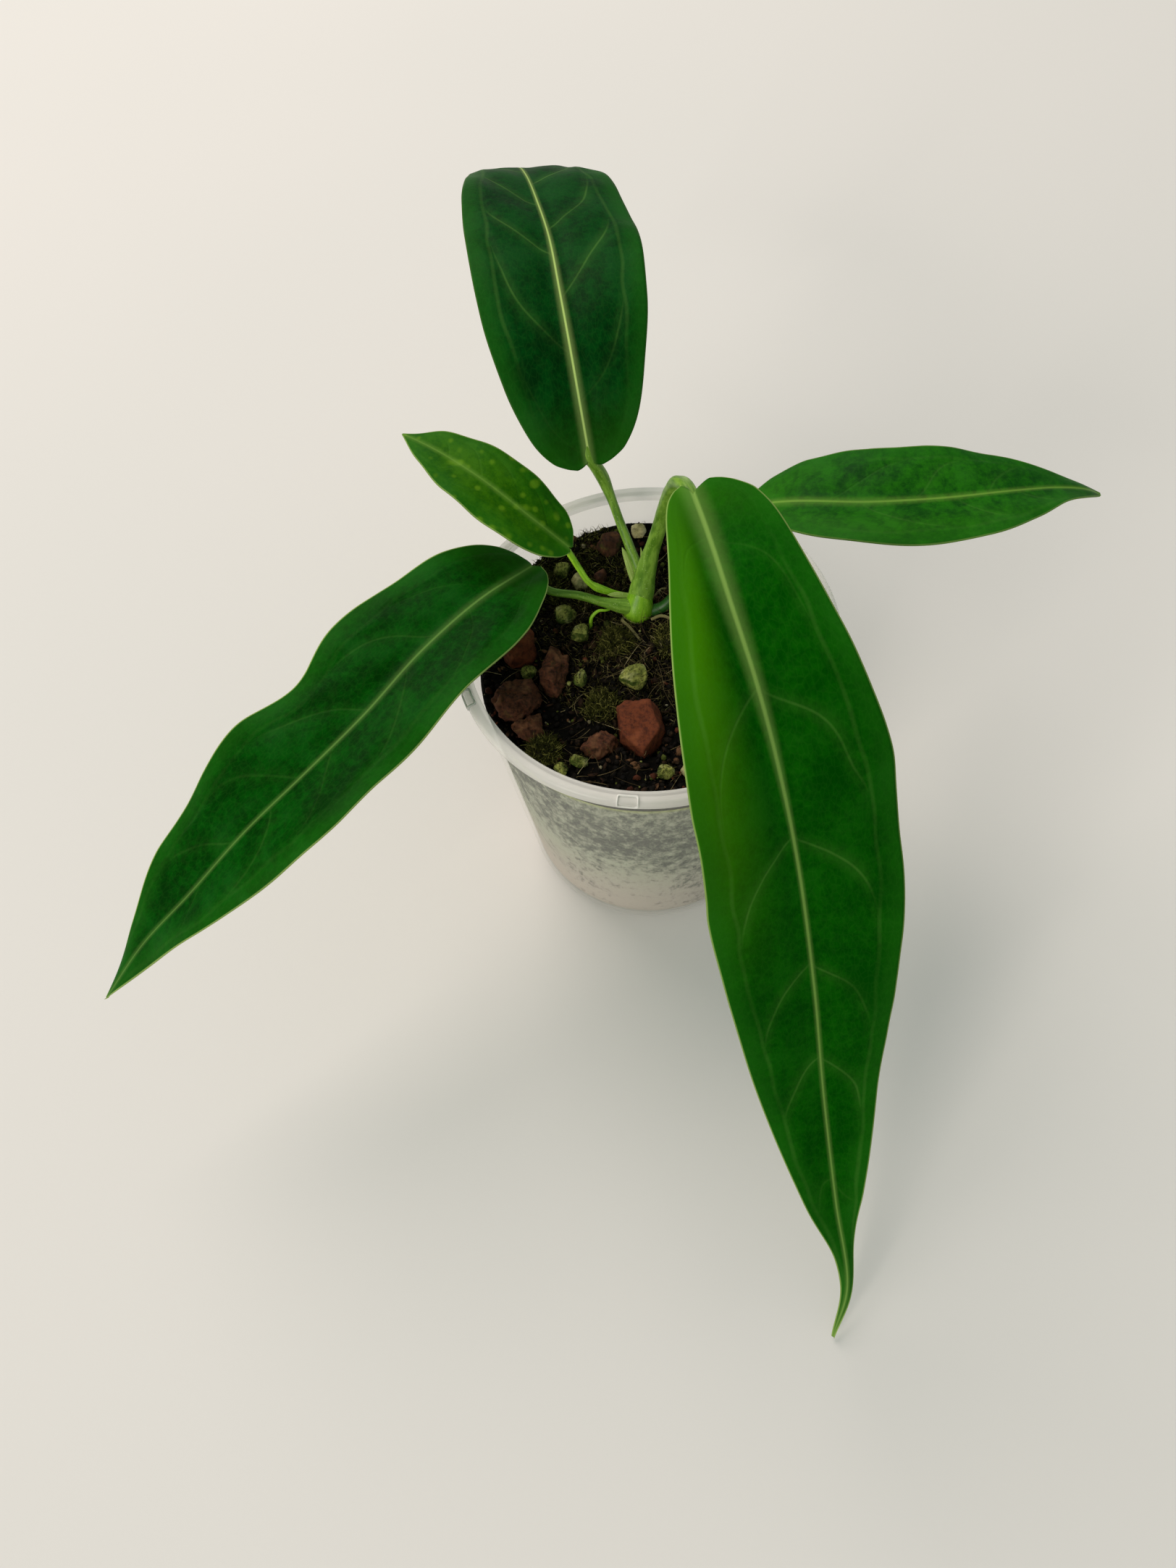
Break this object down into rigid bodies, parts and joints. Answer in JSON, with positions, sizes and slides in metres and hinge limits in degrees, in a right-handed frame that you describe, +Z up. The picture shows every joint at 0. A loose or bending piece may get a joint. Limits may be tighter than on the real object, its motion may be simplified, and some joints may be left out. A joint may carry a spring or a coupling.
{
  "type": "potted anthurium",
  "caption": "Young strap-leaved anthurium with arching leaves on slender stalks, growing in a stony mix in a frosted plastic pot.",
  "frame": {"origin": "middle of the pot's flat underside, on the surface it stands on", "axes": "+Z up the pot's axis; -Y the side the long front leaf arches down on; +X to the right seen from that side"},
  "size_m": [0.2636, 0.3235, 0.1591],
  "materials": {
    "pot": "satin",
    "mix": "matte",
    "crown": "satin",
    "stalk": "satin",
    "stalk_pale": "satin",
    "stalk_dark": "satin",
    "leaf_dark": "satin",
    "leaf_mid": "satin",
    "leaf_pale": "satin",
    "sheath": "matte",
    "root": "matte",
    "lava": "matte",
    "lava_dark": "matte",
    "pumice": "matte",
    "pumice_mossy": "matte",
    "bark": "matte",
    "moss": "matte"
  },
  "bodies": {
    "root": {"bark_dark": "bark", "bark_front": "bark", "bark_orange": "bark", "bark_right": "bark", "bud": "sheath", "crown": "crown", "lava_edge": "lava_dark", "lava_front": "lava", "lava_hidden": "lava", "lava_left": "lava_dark", "lava_low": "lava_dark", "lava_right": "lava", "lava_tall": "lava_dark", "leaf_back": "leaf_dark", "leaf_front": "leaf_mid", "leaf_left": "leaf_dark", "leaf_right": "leaf_mid", "leaf_small": "leaf_pale", "moss_back": "moss", "moss_crown": "moss", "moss_front": "moss", "moss_left": "moss", "moss_right": "moss", "pot": "pot", "potting_mix": "mix", "pumice_back": "pumice", "pumice_corner": "pumice_mossy", "pumice_east": "pumice", "pumice_far": "pumice_mossy", "pumice_front": "pumice_mossy", "pumice_gold": "pumice", "pumice_green": "pumice_mossy", "pumice_grey": "pumice_mossy", "pumice_low": "pumice_mossy", "pumice_mid": "pumice_mossy", "pumice_mossy": "pumice_mossy", "pumice_pale": "pumice", "pumice_slit": "pumice_mossy", "pumice_south": "pumice_mossy", "root_back": "root", "root_long": "root", "root_right": "root", "sheath_back": "sheath", "sheath_left": "sheath", "shoot": "stalk_pale", "stalk_back": "stalk", "stalk_front": "stalk", "stalk_left": "stalk", "stalk_right": "stalk_dark", "stalk_small": "stalk_pale"}
  },
  "joints": []
}
